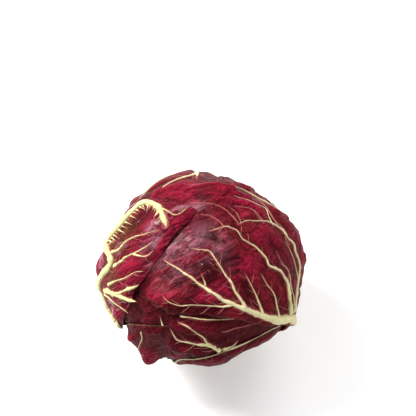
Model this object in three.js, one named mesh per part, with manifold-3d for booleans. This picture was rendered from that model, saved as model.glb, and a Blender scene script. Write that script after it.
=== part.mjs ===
// A whole radicchio head standing on its cut stem, in millimetres, +Z up.
// The origin is the middle of the cut face, where the head rests.
// Every leaf is a thin blade wrapped round the leaves inside it, with its ribs
// raised on its outer face. Places on the head are directions from its middle.

import * as THREE from 'three';
import Module from 'manifold-3d';

const wasm = await Module();
wasm.setup();

// Driving sizes of the head
const heartAcross = 115;
const heartHigh = 86;
const middleHeight = 58.2;
const stemRadius = 13;
const stemTop = 14.7;
const stemBevel = 0.7;
const fit = 0.4;
const stemClear = 1.44;

// The fuller part low down the head, as a share of its radius, and the angle up from the stem
const shoulder = 0.07;
const shoulderAngle = 40;
const shoulderSpread = 18;

// Where the head swells or draws in: the direction, the height and how wide it spreads
const lumps = [
  { towards: [-0.2, -0.83, -0.45], high: -3.6, wide: 0.62 },
  { towards: [-0.78, -0.45, -0.26], high: -2.2, wide: 0.4 },
  { towards: [-0.74, 0.58, 0.33], high: -3.0, wide: 0.38 },
  { towards: [0.64, 0.66, 0.38], high: -3.6, wide: 0.36 },
  { towards: [0.96, 0.22, 0.12], high: 2.2, wide: 0.34 },
];

// Leaf blades: their thickness, and the room that each leaf takes on the one inside it
const blade = 0.8;
const layer = 1.7;
const fadeAngle = 22;
const baseFadeAngle = 7;
const fadeFrom = 10;
const fadeBlend = 50;

// A leaf counts as open to the air from a little way off the outlines of its outer leaves
const openFrom = 1;
const openBlend = 9;

// The ruffle of a free margin: how far in it reaches, and its turn for each degree of height
const ruffleDeep = 13;
const ruffleTurn = 0.14;

// Ribs: how far they are rooted in the blade, and the room round a covered rib
const ribRoot = 0.42;
const ribRoom = 9;
const ribRoomHeight = 0.35;
const ribReachPart = 0.62;
const ribFade = 10;
const ribRoomFade = 14;
const longestStep = 9.5;
const broadFrom = 1.4;
const ribSections = {
  thin: [[-1, 0], [0, 1], [1, 0]],
  broad: [[-1, 0], [-0.45, 0.9], [0.45, 0.9], [1, 0], [0, 0]],
};

// Side veins: where the first pair and the next ones start, as shares of the leaf's reach
const firstPair = 0.26;
const pairStep = 0.15;
const pairStagger = 0.03;
const sideVein = { steps: 4, climb: 9, spread: 0.2, wide: 1.0, high: 0.9, end: 0.3, open: 0.7 };

// The photograph's view of the head, which places the ribs that it shows
const photoMiddle = [203, 266];
const photoCentre = [208, 208];
const photoScale = 0.6;
const photoElevation = 60;
const photoDistance = 900;
const photoHead = [61, 61, 54];

const rad = Math.PI / 180;
const meanRadius = 57;
const baseHalf = 11.5;
const lowestPlace = -60;
const tipEnd = 0.995;

// The grid of a blade: how its rows crowd to the base, and how fast its foot rounds the stem
const rowCrowding = 1.2;
const footPower = 8;

// The heart: a dense ball of inner leaves, each a low step on the ones under it
const heartLeaves = 7;
const heartStep = 0.9;
const heartFade = 9;
const goldenAngle = 137.5;
const rings = 20;
const around = 32;

// The leaves from the innermost to the outermost. azimuth is the side of the stem
// that a leaf grows from and reach how far it goes round the head, both in degrees.
// Each side of the outline widens from one angle to another, up to a half width.
const leaves = [
  {
    name: 'leaf_crown', azimuth: 234, reach: 190, bend: -6, ruffle: 0, rows: 15, columns: 10,
    left: { from: 16, to: 100, half: 50 }, right: { from: 16, to: 100, half: 50 },
    tip: [2, 0.5], rib: { wide: 5, high: 1.6, reach: 70 }, laterals: 0, veins: [], ridges: [],
  },
  {
    name: 'leaf_back_left', azimuth: 150, reach: 190, bend: 8, ruffle: 0.8, rows: 18, columns: 12,
    left: { from: 16, to: 100, half: 50 }, right: { from: 16, to: 105, half: 46 },
    tip: [2, 0.5], rib: { wide: 5.5, high: 1.8 }, laterals: 3, veins: [], ridges: [],
  },
  {
    name: 'leaf_back', azimuth: 92, reach: 200, bend: -6, ruffle: 0.8, rows: 19, columns: 12,
    left: { from: 25, to: 110, half: 47 }, right: { from: 16, to: 105, half: 50 },
    tip: [2, 0.5], rib: { wide: 5.5, high: 1.9 }, laterals: 4, veins: [], ridges: [],
  },
  {
    name: 'leaf_back_right', azimuth: 36, reach: 184, bend: 8, ruffle: 1.0, rows: 18, columns: 12,
    left: { from: 16, to: 100, half: 48 }, right: { from: 16, to: 100, half: 44 },
    tip: [1.8, 0.6], rib: { wide: 5.5, high: 1.9 }, laterals: 4, veins: [], ridges: [],
  },
  {
    name: 'leaf_front_left', azimuth: 240, reach: 109, bend: -8, ruffle: 0.9, rows: 12, columns: 12,
    left: { from: 20, to: 66, half: 33, tip: [1.3, 0.8] }, right: { from: 20, to: 66, half: 30 },
    tip: [3, 0.4], rib: { wide: 5.5, high: 1.8, reach: 66 }, laterals: 0,
    ridges: [{ photo: [[143, 347], [152, 359], [160, 366]], high: 4.0, wide: 10 }],
    veins: [
      { wide: 0.8, high: 0.8, end: 0.3, photo: [[144, 334], [144, 346], [151, 357], [157, 361]] },
    ],
  },
  {
    name: 'leaf_front', azimuth: 276, reach: 150, bend: 0, ruffle: 0.6, rows: 16, columns: 12,
    left: { from: 20, to: 90, half: 29 }, right: { from: 20, to: 95, half: 46 },
    tip: [2, 0.5], rib: { wide: 5.5, high: 1.6, reach: 80 }, laterals: 0, ridges: [],
    veins: [
      { wide: 1.2, high: 1.1, end: 0.35, photo: [[221, 350], [210, 345], [197, 344], [178, 340], [170, 329]] },
      { wide: 0.9, high: 0.9, end: 0.3, photo: [[214, 347], [197, 334], [188, 327], [182, 317]] },
      { wide: 1.0, high: 1.0, end: 0.3, photo: [[222, 349], [232, 346], [238, 340]] },
    ],
  },
  {
    name: 'leaf_short_front', azimuth: 289, reach: 97, bend: -3, ruffle: 0.9, rows: 10, columns: 12,
    left: { from: 18, to: 60, half: 36 }, right: { from: 18, to: 60, half: 36 },
    tip: [3, 0.45], rib: { wide: 5.5, high: 1.8 }, laterals: 0, veins: [], ridges: [],
  },
  {
    name: 'leaf_right', azimuth: 335, reach: 232, bend: 0, ruffle: 1.4, rows: 25, columns: 16,
    left: { from: 62, to: 178, half: 60, tip: [4, 0.35] }, right: { from: 30, to: 150, half: 50 },
    tip: [2, 0.5], rib: { wide: 6, high: 2.0, reach: 80 }, laterals: 0,
    ridges: [{ photo: [[270, 322], [290, 318], [293, 300]], high: 2.5, wide: 9 }],
    veins: [
      {
        wide: 1.8, high: 1.7, end: 0.4,
        photo: [[292, 318], [279, 320], [265, 317], [250, 311], [238, 306], [223, 300], [208, 290],
          [182, 271], [165, 260]],
      },
      { wide: 1.2, high: 1.2, end: 0.3, photo: [[245, 308], [234, 288], [222, 269], [210, 252], [191, 248]] },
      { wide: 0.9, high: 0.9, end: 0.3, photo: [[263, 314], [254, 292], [244, 272]] },
      { wide: 0.8, high: 0.8, end: 0.3, photo: [[279, 317], [275, 296], [267, 285], [259, 271]] },
      { wide: 0.7, high: 0.8, end: 0.3, photo: [[232, 306], [207, 306], [178, 305], [168, 302], [160, 294]] },
      {
        wide: 1.5, high: 1.4, end: 0.3,
        photo: [[291, 317], [290, 298], [287, 281], [281, 271], [269, 266], [266, 259], [255, 246],
          [243, 239], [237, 231], [224, 227], [209, 231]],
      },
      {
        wide: 1.5, high: 1.4, end: 0.3,
        photo: [[294, 312], [298, 280], [300, 252], [292, 238], [277, 226], [260, 221], [252, 220],
          [238, 225]],
      },
    ],
  },
  {
    name: 'leaf_left', azimuth: 192, reach: 178, bend: 12, ruffle: 1.6, rows: 20, columns: 14,
    left: { from: 100, to: 138, half: 26 }, right: { from: 38, to: 100, half: 31 },
    tip: [1.6, 0.75], rib: { wide: 6, high: 2.2, reach: 72 }, laterals: 0,
    ridges: [
      { photo: [[107, 241], [119, 225], [135, 207], [147, 203], [159, 208], [166, 224]], high: 2.6, wide: 10 },
      { photo: [[104, 306], [100, 290], [101, 276]], high: 2.0, wide: 9 },
    ],
    veins: [
      {
        wide: 2.3, high: 1.9, end: 0.8,
        photo: [[118, 326], [107, 312], [102, 298], [100, 282], [107, 270], [111, 262], [109, 250],
          [109, 240], [119, 226], [135, 208], [147, 203], [158, 208], [167, 226]],
      },
      { wide: 1.2, high: 1.2, end: 0.9, photo: [[105, 290], [120, 297], [136, 301]] },
      { wide: 1.2, high: 1.1, end: 0.8, photo: [[106, 290], [120, 293], [138, 286]] },
      { wide: 0.8, high: 0.9, end: 0.3, photo: [[109, 284], [126, 278], [136, 272], [144, 271]] },
      { wide: 0.8, high: 0.8, end: 0.3, photo: [[104, 294], [116, 304], [128, 313]] },
      { wide: 0.8, high: 0.8, end: 0.3, photo: [[112, 252], [133, 237], [159, 230]] },
      { wide: 1.0, high: 0.9, end: 0.3, photo: [[112, 267], [133, 254], [150, 246]] },
      { wide: 0.8, high: 0.9, end: 0.3, photo: [[158, 207], [171, 213], [182, 212], [188, 206]] },
    ],
  },
];

// The crumple that all the leaves share, as waves over the head
const waves = [
  { along: [4.1, 3.2, 2.6], shift: 0.4, high: 0.9 },
  { along: [-3.4, 5.6, 1.9], shift: 2.1, high: 0.7 },
  { along: [5.3, -2.7, 4.4], shift: 4.3, high: 0.7 },
];

const colours = {
  stem: { color: 0xe6dcb4, roughness: 0.7, metalness: 0 },
  heart: { color: 0xa2405a, roughness: 0.55, metalness: 0 },
  leaf: { color: 0x7c1328, roughness: 0.4, metalness: 0 },
};

function smooth(value) {
  const part = Math.min(1, Math.max(0, value));
  return part * part * (3 - 2 * part);
}

// The direction at an azimuth and an angle up from the stem
function headDirection(azimuth, polar) {
  const around = azimuth * rad;
  const up = polar * rad;
  return new THREE.Vector3(
    Math.sin(up) * Math.cos(around), Math.sin(up) * Math.sin(around), -Math.cos(up));
}

function polarAngle(direction) {
  return Math.acos(Math.min(1, Math.max(-1, -direction.z))) / rad;
}

// The direction of the point of the head that a pixel of the photograph shows
function photoDirection([across, downward]) {
  const elevation = photoElevation * rad;
  const upward = new THREE.Vector3(0, Math.sin(elevation), Math.cos(elevation));
  const eye = new THREE.Vector3(0, -Math.cos(elevation), Math.sin(elevation)).multiplyScalar(photoDistance);
  eye.addScaledVector(upward, (photoMiddle[1] - photoCentre[1]) * photoScale);
  eye.x += (photoCentre[0] - photoMiddle[0]) * photoScale;
  const aim = upward.multiplyScalar((photoMiddle[1] - downward) * photoScale);
  aim.x += (across - photoMiddle[0]) * photoScale;
  const size = new THREE.Vector3(...photoHead);
  const start = eye.clone().divide(size);
  const ray = aim.clone().sub(eye).divide(size);
  const square = ray.lengthSq();
  const cross = start.dot(ray);
  const inside = Math.max(0, cross * cross - square * (start.lengthSq() - 1));
  const travel = (-cross - Math.sqrt(inside)) / square;
  return start.addScaledVector(ray, travel).multiply(size).normalize();
}

// A leaf's own places: y runs from the stem up along its middle, x across it, in degrees
function leafAxes(leaf) {
  const around = leaf.azimuth * rad;
  return {
    out: new THREE.Vector3(Math.cos(around), Math.sin(around), 0),
    side: new THREE.Vector3(Math.sin(around), -Math.cos(around), 0),
  };
}

function leafDirection(leaf, x, y) {
  const { out, side } = leafAxes(leaf);
  return new THREE.Vector3(0, 0, -Math.cos(y * rad) * Math.cos(x * rad))
    .addScaledVector(out, Math.sin(y * rad) * Math.cos(x * rad))
    .addScaledVector(side, Math.sin(x * rad));
}

function leafPlace(leaf, direction) {
  const { out, side } = leafAxes(leaf);
  const x = Math.asin(Math.min(1, Math.max(-1, direction.dot(side)))) / rad;
  let y = Math.atan2(direction.dot(out), -direction.z) / rad;
  if (y < lowestPlace) y += 360;
  return { x, y };
}

function middleOf(leaf, y) {
  const along = Math.max(0, y / leaf.reach);
  return leaf.bend * along * along;
}

function halfWidth(leaf, y, sign) {
  const side = sign < 0 ? leaf.right : leaf.left;
  const widening = smooth((y - side.from) / (side.to - side.from));
  const past = Math.min(tipEnd, Math.max(0, (y - side.to) / (leaf.reach - side.to)));
  const [first, second] = side.tip ?? leaf.tip;
  return (baseHalf + (side.half - baseHalf) * widening) * (1 - past ** first) ** second;
}

// How far outside a leaf's outline a direction lies, in degrees, below zero inside
function outsideBy(leaf, direction) {
  const { x, y } = leafPlace(leaf, direction);
  const across = x - middleOf(leaf, y);
  const beside = Math.abs(across) - halfWidth(leaf, y, Math.sign(across));
  return Math.max(beside, y - leaf.reach, -y);
}

// The surface of the heart, an egg-shaped ball with soft waves
function heartRadius(direction) {
  const size = new THREE.Vector3(heartAcross / 2, heartAcross / 2, heartHigh / 2);
  let radius = 1 / direction.clone().divide(size).length();
  const fromShoulder = (polarAngle(direction) - shoulderAngle) / shoulderSpread;
  radius *= 1 + shoulder * Math.exp(-(fromShoulder ** 2));
  for (const wave of waves) {
    radius += wave.high * Math.sin(direction.dot(new THREE.Vector3(...wave.along)) + wave.shift);
  }
  for (const lump of lumps) {
    const away = direction.distanceTo(new THREE.Vector3(...lump.towards));
    radius += lump.high * Math.exp(-((away / lump.wide) ** 2));
  }
  return radius;
}

// The distance on the head from a direction to a route of directions
function routeDistance(direction, route, radius) {
  let nearest = Infinity;
  for (let i = 0; i + 1 < route.length; i++) {
    const step = route[i + 1].clone().sub(route[i]);
    const part = direction.clone().sub(route[i]).dot(step) / step.lengthSq();
    const point = route[i].clone().addScaledVector(step, Math.min(1, Math.max(0, part)));
    nearest = Math.min(nearest, point.distanceTo(direction));
  }
  return nearest * radius;
}

for (const leaf of leaves) {
  leaf.ridgeRoutes = leaf.ridges.map((ridge) => ridge.photo.map(photoDirection));
  leaf.ribReach = leaf.rib.reach ?? leaf.reach * ribReachPart;
}

// How open to the air a place on a leaf is, from 0 under an outer leaf to 1
function openness(leaf, direction) {
  let open = 1;
  for (const outer of leaves.slice(leaves.indexOf(leaf) + 1)) {
    open *= smooth((outsideBy(outer, direction) - openFrom) / openBlend);
  }
  return open;
}

// A leaf's own swells: its ridges, and the ruffle of its free margin
function swell(leaf, direction) {
  let high = 0;
  leaf.ridges.forEach((ridge, i) => {
    const away = routeDistance(direction, leaf.ridgeRoutes[i], meanRadius);
    high += ridge.high * Math.exp(-((away / ridge.wide) ** 2));
  });
  if (leaf.ruffle > 0) {
    const { y } = leafPlace(leaf, direction);
    const margin = smooth(1 + outsideBy(leaf, direction) / ruffleDeep);
    const ripple = 0.55 + 0.45 * Math.sin(y * ruffleTurn + leaf.azimuth);
    high += leaf.ruffle * margin * ripple * openness(leaf, direction);
  }
  return high;
}

// The height of a leaf's middle rib at its own angle up from the stem
function ribHeight(leaf, y) {
  return leaf.rib.high * (1 - 0.75 * smooth(y / leaf.ribReach));
}

// The rise of the middle rib over the blade, round across and fading past its end
function ribRise(leaf, direction) {
  const { x, y } = leafPlace(leaf, direction);
  const away = Math.abs(x - middleOf(leaf, y)) * rad * meanRadius;
  const across = Math.max(0, 1 - (away / leaf.rib.wide) ** 2);
  return ribHeight(leaf, y) * across * smooth((leaf.ribReach + ribFade - y) / ribFade);
}

// The room that a leaf takes at a direction, which the leaves outside it go round
function roomOver(leaf, direction) {
  const upTheHead = smooth((polarAngle(direction) - fadeFrom) / fadeBlend);
  const fade = baseFadeAngle + (fadeAngle - baseFadeAngle) * upTheHead;
  const covered = smooth(1 - outsideBy(leaf, direction) / fade);
  if (covered === 0) return 0;
  const { x, y } = leafPlace(leaf, direction);
  const away = Math.abs(x - middleOf(leaf, y)) * rad * meanRadius;
  const alongRib = smooth((leaf.ribReach + ribRoomFade - y) / ribRoomFade);
  const overRib = smooth(1 - (away - leaf.rib.wide) / ribRoom) * alongRib;
  return covered * (layer + swell(leaf, direction) + (ribHeight(leaf, y) + ribRoomHeight) * overRib);
}

function innerRadius(leaf, direction) {
  let radius = heartRadius(direction) + swell(leaf, direction);
  for (const inner of leaves.slice(0, leaves.indexOf(leaf))) radius += roomOver(inner, direction);
  return radius;
}

// The angle up from the stem where a leaf's base meets the stem's side
function baseAngle(leaf) {
  let angle = 15;
  for (let i = 0; i < 4; i++) {
    const radius = innerRadius(leaf, leafDirection(leaf, 0, angle));
    angle = Math.asin((stemRadius + stemClear) / radius) / rad;
  }
  return angle;
}

function placeAt(direction, radius) {
  return direction.clone().multiplyScalar(radius).add(new THREE.Vector3(0, 0, middleHeight));
}

function manifoldOf(points, triangles) {
  const vertProperties = new Float32Array(points.flatMap((point) => point.toArray()));
  return new wasm.Manifold(new wasm.Mesh({ numProp: 3, vertProperties, triVerts: new Uint32Array(triangles) }));
}

// A leaf's blade: a grid of places on its outline, once outside and once inside
function bladeSolid(leaf) {
  const { rows, columns } = leaf;
  const base = baseAngle(leaf);
  const outside = [];
  const inside = [];
  for (let row = 0; row <= rows; row++) {
    const along = row / rows;
    const height = base + (leaf.reach - base) * (1 - (1 - along) ** rowCrowding);
    for (let column = 0; column <= columns; column++) {
      const across = 2 * column / columns - 1;
      const x = middleOf(leaf, height) + across * halfWidth(leaf, height, across);
      const round = Math.max(0, Math.sin(base * rad) ** 2 - Math.sin(x * rad) ** 2);
      const edge = Math.asin(Math.sqrt(round) / Math.cos(x * rad)) / rad;
      const y = height - (base - edge) * (1 - along) ** footPower;
      const direction = leafDirection(leaf, x, y);
      const radius = innerRadius(leaf, direction);
      inside.push(placeAt(direction, radius));
      outside.push(placeAt(direction, radius + blade + ribRise(leaf, direction)));
    }
  }
  const count = outside.length;
  const triangles = [];
  const quad = (a, b, c, d) => triangles.push(a, b, c, a, c, d);
  for (let row = 0; row < rows; row++) {
    for (let column = 0; column < columns; column++) {
      const a = row * (columns + 1) + column;
      const b = a + 1;
      const c = b + columns + 1;
      const d = a + columns + 1;
      triangles.push(a, c, b, a, d, c);
      triangles.push(count + a, count + b, count + c, count + a, count + c, count + d);
    }
  }
  for (let row = 0; row < rows; row++) {
    const a = row * (columns + 1);
    const b = a + columns + 1;
    quad(b, a, a + count, b + count);
    quad(a + columns, b + columns, b + columns + count, a + columns + count);
  }
  const top = rows * (columns + 1);
  for (let column = 0; column < columns; column++) {
    quad(column, column + 1, column + 1 + count, column + count);
    quad(top + column + 1, top + column, top + column + count, top + column + 1 + count);
  }
  return manifoldOf([...outside, ...inside], triangles);
}

// A rib along a route: a ridge with a flat-topped section, tapered to its end
function ribSolid(leaf, route, { wide, high, end }, sections) {
  const points = [];
  const triangles = [];
  const close = route.flatMap((direction, i) => {
    if (i === 0 || direction.angleTo(route[i - 1]) * meanRadius < longestStep) return [direction];
    return [direction.clone().add(route[i - 1]).normalize(), direction];
  });
  const steps = close.length;
  close.forEach((direction, i) => {
    const before = close[Math.max(0, i - 1)];
    const after = close[Math.min(steps - 1, i + 1)];
    const forward = after.clone().sub(before);
    const sideways = direction.clone().cross(forward).normalize();
    const taper = 1 - (1 - end) * i / (steps - 1);
    for (const [across, up] of sections) {
      const turned = direction.clone().addScaledVector(sideways, across * wide * taper / meanRadius).normalize();
      const lift = up > 0 ? blade + up * high * taper : blade - ribRoot;
      points.push(placeAt(turned, innerRadius(leaf, turned) + lift));
    }
  });
  const sides = sections.length;
  for (let i = 0; i + 1 < steps; i++) {
    for (let k = 0; k < sides; k++) {
      const next = (k + 1) % sides;
      const a = i * sides + k;
      const b = i * sides + next;
      triangles.push(a, b + sides, b, a, a + sides, b + sides);
    }
  }
  for (let k = 1; k + 1 < sides; k++) {
    triangles.push(0, k, k + 1);
    const last = (steps - 1) * sides;
    triangles.push(last, last + k + 1, last + k);
  }
  return manifoldOf(points, triangles);
}

// Side veins in pairs up a leaf, each kept only as far as it is open to the air
function sideVeins(leaf) {
  const solids = [];
  for (let pair = 0; pair < leaf.laterals; pair++) {
    for (const sign of [-1, 1]) {
      const start = leaf.reach * (firstPair + pairStep * pair + pairStagger * sign);
      const route = [];
      for (let i = 0; i <= sideVein.steps; i++) {
        const y = start + sideVein.climb * i;
        const x = middleOf(leaf, y) + sign * halfWidth(leaf, y, sign) * sideVein.spread * i;
        const direction = leafDirection(leaf, x, y);
        if (openness(leaf, direction) < sideVein.open) break;
        route.push(direction);
      }
      if (route.length > 2) solids.push(ribSolid(leaf, route, sideVein, ribSections.thin));
    }
  }
  return solids;
}

function leafSolid(leaf) {
  let solid = bladeSolid(leaf);
  for (const vein of leaf.veins) {
    const route = vein.photo.map(photoDirection);
    const sections = vein.wide > broadFrom ? ribSections.broad : ribSections.thin;
    solid = solid.add(ribSolid(leaf, route, vein, sections));
  }
  for (const vein of sideVeins(leaf)) solid = solid.add(vein);
  return solid.decompose().sort((one, other) => other.volume() - one.volume())[0];
}

function heartSolid() {
  const inner = [];
  for (let i = 0; i < heartLeaves; i++) {
    inner.push({
      azimuth: i * goldenAngle, reach: 170 + 8 * (i % 3), bend: 0, tip: [2, 0.5],
      left: { from: 16, to: 100, half: 44 }, right: { from: 16, to: 100, half: 40 },
    });
  }
  const points = [];
  const triangles = [];
  const toStem = middleHeight - stemTop - fit;
  const add = (direction) => {
    let radius = heartRadius(direction) - fit - heartLeaves * heartStep;
    for (const leaf of inner) radius += heartStep * smooth(1 - outsideBy(leaf, direction) / heartFade);
    points.push(placeAt(direction, direction.z < -0.5 ? Math.min(radius, toStem / -direction.z) : radius));
  };
  add(headDirection(0, 0));
  for (let ring = 1; ring < rings; ring++) {
    for (let i = 0; i < around; i++) add(headDirection(360 * i / around, 180 * ring / rings));
  }
  add(headDirection(0, 180));
  const last = points.length - 1;
  const at = (ring, i) => 1 + (ring - 1) * around + i % around;
  for (let i = 0; i < around; i++) {
    triangles.push(0, at(1, i + 1), at(1, i));
    triangles.push(last, at(rings - 1, i), at(rings - 1, i + 1));
    for (let ring = 1; ring + 1 < rings; ring++) {
      triangles.push(at(ring, i), at(ring, i + 1), at(ring + 1, i + 1));
      triangles.push(at(ring, i), at(ring + 1, i + 1), at(ring + 1, i));
    }
  }
  return manifoldOf(points, triangles);
}

// The stem: a short round stump with its lower edge broken by the cut
function stemGeometry() {
  const profile = [
    [0, 0], [stemRadius - stemBevel, 0], [stemRadius, stemBevel], [stemRadius, stemTop - stemBevel],
    [stemRadius - 2 * stemBevel, stemTop], [0, stemTop],
  ];
  const lathe = new THREE.LatheGeometry(profile.map(([x, y]) => new THREE.Vector2(x, y)), 36);
  return lathe.rotateX(Math.PI / 2);
}

function geometryOf(solid) {
  const mesh = solid.getMesh();
  const geometry = new THREE.BufferGeometry();
  geometry.setAttribute('position', new THREE.BufferAttribute(mesh.vertProperties, 3));
  geometry.setIndex(new THREE.BufferAttribute(mesh.triVerts, 1));
  return geometry;
}

const radicchio = new THREE.Group();

function addPiece(name, geometry, finish) {
  const mesh = new THREE.Mesh(geometry, new THREE.MeshStandardMaterial(finish));
  mesh.name = name;
  radicchio.add(mesh);
}

addPiece('stem', stemGeometry(), colours.stem);
addPiece('heart', geometryOf(heartSolid()), colours.heart);
for (const leaf of leaves) addPiece(leaf.name, geometryOf(leafSolid(leaf)), colours.leaf);

export default radicchio;
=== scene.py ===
# A whole radicchio head on its cut stem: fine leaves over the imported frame, with
# raised cream ribs, waxy red blades and soft studio light. Sizes are in millimetres
# until a mesh is made, which is in metres. Places on a leaf are in degrees, and
# directions are unit vectors from the head's middle.

import math

import bpy
import numpy as np
from mathutils import Matrix


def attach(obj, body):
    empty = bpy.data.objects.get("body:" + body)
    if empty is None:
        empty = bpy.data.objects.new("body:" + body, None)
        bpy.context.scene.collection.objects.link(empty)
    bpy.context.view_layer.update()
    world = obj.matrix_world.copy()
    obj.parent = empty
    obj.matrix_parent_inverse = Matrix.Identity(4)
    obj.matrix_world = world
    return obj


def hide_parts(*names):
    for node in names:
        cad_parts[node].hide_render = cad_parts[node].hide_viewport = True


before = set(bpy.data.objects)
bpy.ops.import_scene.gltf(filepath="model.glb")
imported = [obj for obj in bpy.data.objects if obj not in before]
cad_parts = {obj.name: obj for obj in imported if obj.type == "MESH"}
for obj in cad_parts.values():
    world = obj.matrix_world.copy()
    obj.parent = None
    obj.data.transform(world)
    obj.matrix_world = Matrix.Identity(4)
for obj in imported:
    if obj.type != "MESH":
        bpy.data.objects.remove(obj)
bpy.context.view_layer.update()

# Driving sizes of the head, as in the part
HEART_ACROSS = 115
HEART_HIGH = 86
MIDDLE_HEIGHT = 58.2
STEM_RADIUS = 13
STEM_TOP = 14.7
STEM_BEVEL = 0.7
STEM_CLEAR = 1.44
SHOULDER = 0.07
SHOULDER_ANGLE = 40
SHOULDER_SPREAD = 18
BLADE = 0.8
LAYER = 1.7
FADE_ANGLE = 22
BASE_FADE_ANGLE = 7
FADE_FROM = 10
FADE_BLEND = 50
OPEN_FROM = 1
OPEN_BLEND = 9
RUFFLE_DEEP = 13
RUFFLE_TURN = 0.14
RIB_REACH_PART = 0.62
RIB_ROOM = 9
RIB_ROOM_HEIGHT = 0.35
RIB_ROOM_FADE = 14
RIB_FADE = 10
BASE_HALF = 11.5
MEAN_RADIUS = 57
DEGREE_LONG = math.radians(1) * MEAN_RADIUS
LOWEST_PLACE = -60
TIP_END = 0.995
ROW_CROWDING = 1.2
FOOT_POWER = 8

# The photograph's view of the head: pixels, millimetres per pixel, degrees and millimetres
PHOTO_MIDDLE = (203, 266)
PHOTO_SIZE = 416
PHOTO_SCALE = 0.6
PHOTO_ELEVATION = 60
PHOTO_DISTANCE = 900
PHOTO_HEAD = (61, 61, 54)
PHOTO_MEETINGS = 5
SENSOR_WIDTH = 36

# Soft lamps: name, place and size in metres, and power
LAMPS = [
    ("key", (-0.72, 0.36, 0.84), 0.45, 24),
    ("back", (0.45, 0.85, 1.00), 0.8, 7),
    ("side", (1.0, -0.45, 0.75), 0.7, 4.5),
]

# The floor's half side, and the surround's light from below and above with the heights it grades between
FLOOR_HALF = 12000
FLOOR_WHITE = (0.93, 0.93, 0.93, 1)
FLOOR_GLOW = 0.18
SURROUND = (0.20, 0.55)
SURROUND_SPAN = (-0.1, 0.7)

# The fine stem: depth and turn of its grooves and of the rings on its cut, how far in its top
# edge slopes, and the share of its radius where the mesh's rings begin
STEM_GROOVE = (0.12, 2.4)
STEM_RINGS = (0.05, 26)
STEM_SLOPE = 1.2
STEM_INNERMOST = 0.02

# The fine leaves' margins: share of the blade left there, how far in it fades, how deep the
# margin is pressed on the leaf below and over what width, from which place up, and the share,
# turn per degree and shift between the two sides of the waves that nibble the outline
EDGE_THIN = 0.4
EDGE_FADE = 5
PRESS = 0.85
PRESS_DEEP = 8
PRESS_FROM = 28
PRESS_BLEND = 20
NIBBLE = (0.012, 0.31, 3)
NIBBLE_FINE = (0.004, 0.83, 5)

# The blades' relief: height, size and seed of each noise, creases along a slant in degrees,
# folds along zero lines, pleats along the fan, and the quilting beside the ribs
PUCKERS = [(1.25, 15, 0), (0.55, 7, 20), (0.25, 3.4, 30)]
CREASES = [(0.95, 6.5, 80), (0.5, 3.0, 90)]
CREASE_ANGLE = 32
CREASE_LONG = 3.5
CREASE_WARP = 1.2
FOLD_SIZE = 9
FOLD_SHARP = 7
FOLD_DEEP = 0.85
PLEAT_ANGLE = 7.0
PLEAT_LONG = 24
PLEAT_HIGH = 0.12
PLEAT_ROOT_HIGH = 0.55
PLEAT_ROOT = 45
PLEAT_FINER = (0.6, 2.3)
QUILT_WIDE = 3.5
RELIEF_MEAN = 0.75
RELIEF_LOWEST = -0.45
RELIEF_EDGE = 4
FARTHEST = 40.0

# Ribs: step of a route, sides of a rib, depth of its root, how much the middle rib narrows, how
# much, how far and at which half widths ribs flare at their root, and a stalk's height and end share
RIB_STEP = 0.5
RIB_SIDES = 7
RIB_ROOT = 0.35
RIB_NARROWS = 0.86
RIB_FLARE = 0.9
FLARE_LONG = 2.2
FLARE_WIDTHS = (0.3, 1.6)
STALK_HIGH = 1.9
STALK_END = 0.85

# Fine veins: half widths from which ribs carry them and stalks don't, their longest, height, end
# share, how far they keep off the margin, and the half width up to which one is coloured as thin
VEIN_FROM = 0.62
STALK_FROM = 3
VEIN_LONG = 13
VEIN_HIGH = 0.26
VEIN_END = 0.5
VEIN_CLEAR = 1.5
VEIN_THIN = 0.3

# Seeded ranges of the veins: angle, bend, share of the longest, half width and samples to the next;
# and of the teeth along a rib: half width, and shares of their length and angle
VEIN_ANGLES = (34, 52)
VEIN_BENDS = (0.1, 0.4)
VEIN_SHARES = (0.45, 1.0)
VEIN_WIDTHS = (0.13, 0.20)
VEIN_GAPS = (7, 15)
TOOTH_WIDTHS = (0.35, 0.7)
TOOTH_SHARES = (0.3, 1.0)
TOOTH_TURNS = (0.8, 1.15)

# How a rib is knobbly, ragged and wandering: share or height, and length of each noise
KNOBS = (0.22, 2.3)
RAGGED_BROAD = 0.12
RAGGED_THIN = 0.30
RAGGED_LONG = 1.2
WANDER = (0.45, 6)

# Rule ribs: where the first leaves and each next, as shares of the leaf's length, how many
# degrees they climb and their swing as a share of the half width, each with its spread last, the
# first pair's half width with how much each next pair is thinner, their height and their end share
RULE_START = (0.16, 0.085, 0.02)
RULE_CLIMB = (34, 10)
RULE_SWING = (0.8, 0.12)
RULE_WIDE = (1.3, 0.1)
RULE_HIGH = 0.9
RULE_END = 0.25

# Millimetres to metres
MM = 0.001

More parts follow.
